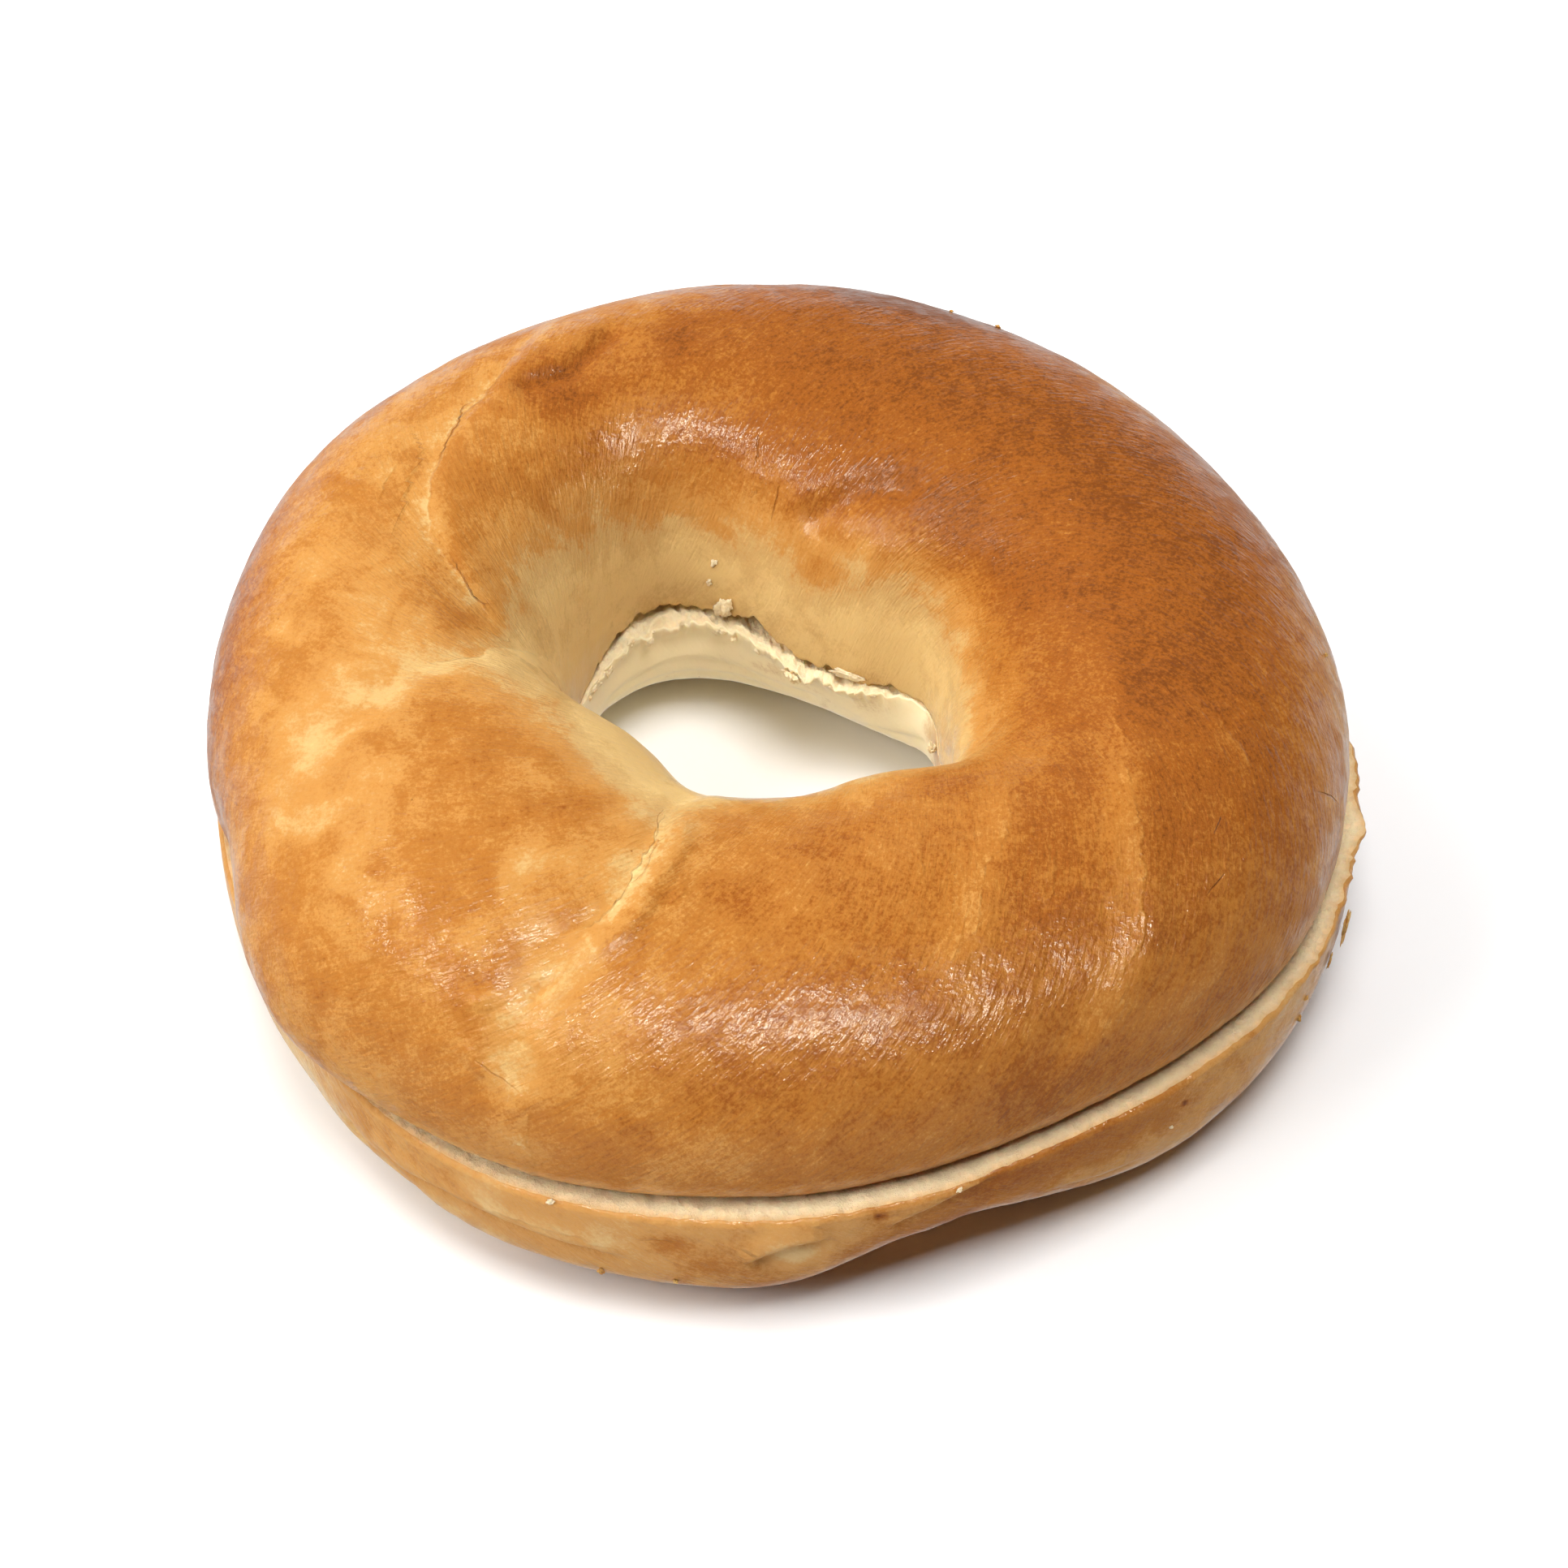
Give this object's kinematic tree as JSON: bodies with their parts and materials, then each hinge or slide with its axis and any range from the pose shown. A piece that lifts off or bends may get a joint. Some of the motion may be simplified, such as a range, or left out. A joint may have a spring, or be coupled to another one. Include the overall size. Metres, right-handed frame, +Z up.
{
  "type": "sliced plain bagel",
  "caption": "Plain bagel sliced through for filling, its glossy browned top half lying back on its bottom half, with a hole through the middle.",
  "frame": {"origin": "centre of the bounding box, at the level of the surface it rests on", "axes": "+Z up through the hole, +X to the right and +Y to the back, seen from the front seam's side"},
  "size_m": [0.1088, 0.1096, 0.0379],
  "materials": {
    "golden_crust": "glossy baked crust, golden brown, with crumb on the cut face",
    "pale_crust": "satin baked crust, pale gold, with crumb on the cut face"
  },
  "bodies": {
    "root": {"top_half": "golden_crust", "bottom_half": "pale_crust"}
  },
  "joints": []
}
